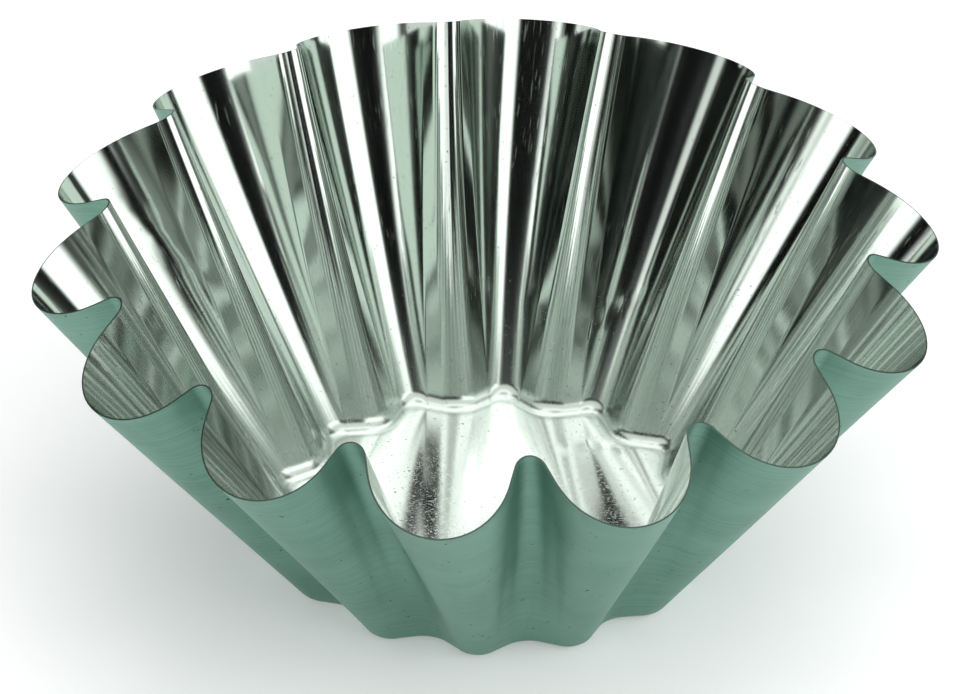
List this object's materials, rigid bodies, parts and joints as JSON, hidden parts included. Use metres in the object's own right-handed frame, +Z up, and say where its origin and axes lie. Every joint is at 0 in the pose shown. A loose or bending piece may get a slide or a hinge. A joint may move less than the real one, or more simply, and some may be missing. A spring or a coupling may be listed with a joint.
{
  "type": "brioche mould",
  "caption": "Flared, fluted baking cup pressed from one sheet of tinplate, with a flat base, rounded corner and raw scalloped rim, for baking brioche.",
  "frame": {"origin": "centre of the underside of the base, on the mould's axis", "axes": "+Z up along the mould's axis, from the base to the open mouth; +X through the tip of a flute"},
  "size_m": [0.2, 0.196, 0.0802],
  "materials": {
    "tinplate": "bright tinplate, drawn and lightly scratched"
  },
  "bodies": {
    "root": {"fluted_mould": "tinplate"}
  },
  "joints": []
}
